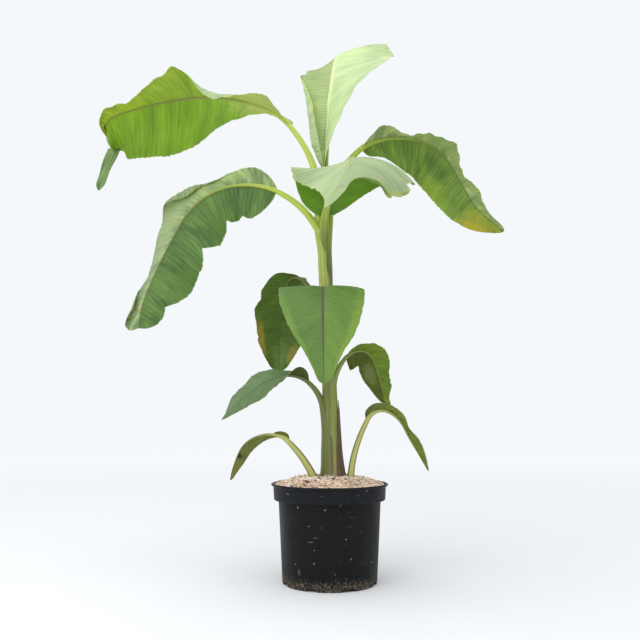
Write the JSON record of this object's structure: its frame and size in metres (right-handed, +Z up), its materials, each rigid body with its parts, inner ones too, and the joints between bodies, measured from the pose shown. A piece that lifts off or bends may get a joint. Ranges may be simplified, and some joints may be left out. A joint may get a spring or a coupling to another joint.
{
  "type": "potted banana plant",
  "caption": "Young banana plant with arching broad leaves on a sheathed stem, standing in a round black nursery pot topped with wood-chip mulch.",
  "frame": {"origin": "centre of the pot's flat underside, on the surface it stands on", "axes": "+Z up along the pot's axis, +X to the right and +Y to the back as the plant is seen from its front"},
  "size_m": [1.06, 0.648, 1.4579],
  "materials": {
    "pot": "matt with a slight sheen, scuffed",
    "compost": "rough",
    "mulch": "rough",
    "stem": "satin",
    "old_sheath": "dull",
    "stalk": "satin",
    "blade": "satin",
    "new_blade": "satin"
  },
  "bodies": {
    "root": {"pot": "pot", "compost": "compost", "mulch": "mulch", "stem": "stem", "old_sheath": "old_sheath", "leaf_top_left_stalk": "stalk", "leaf_top_left_blade_inner": "blade", "leaf_top_left_blade_outer": "blade", "leaf_mid_left_stalk": "stalk", "leaf_mid_left_blade_inner": "blade", "leaf_mid_left_blade_outer": "blade", "leaf_top_new_stalk": "stalk", "leaf_top_new_blade_inner": "new_blade", "leaf_top_new_blade_outer": "new_blade", "leaf_top_right_stalk": "stalk", "leaf_top_right_blade_inner": "blade", "leaf_top_right_blade_outer": "blade", "leaf_top_front_stalk": "stalk", "leaf_top_front_blade_inner": "blade", "leaf_top_front_blade_outer": "blade", "leaf_mid_front_stalk": "stalk", "leaf_mid_front_blade_inner": "blade", "leaf_mid_front_blade_outer": "blade", "leaf_mid_back_stalk": "stalk", "leaf_mid_back_blade_inner": "blade", "leaf_mid_back_blade_outer": "blade", "leaf_low_left_stalk": "stalk", "leaf_low_left_blade": "blade", "leaf_low_right_stalk": "stalk", "leaf_low_right_blade": "blade", "leaf_foot_left_stalk": "stalk", "leaf_foot_left_blade": "blade", "leaf_foot_right_stalk": "stalk", "leaf_foot_right_blade": "blade", "leaf_top_left_strip": "blade"}
  },
  "joints": []
}
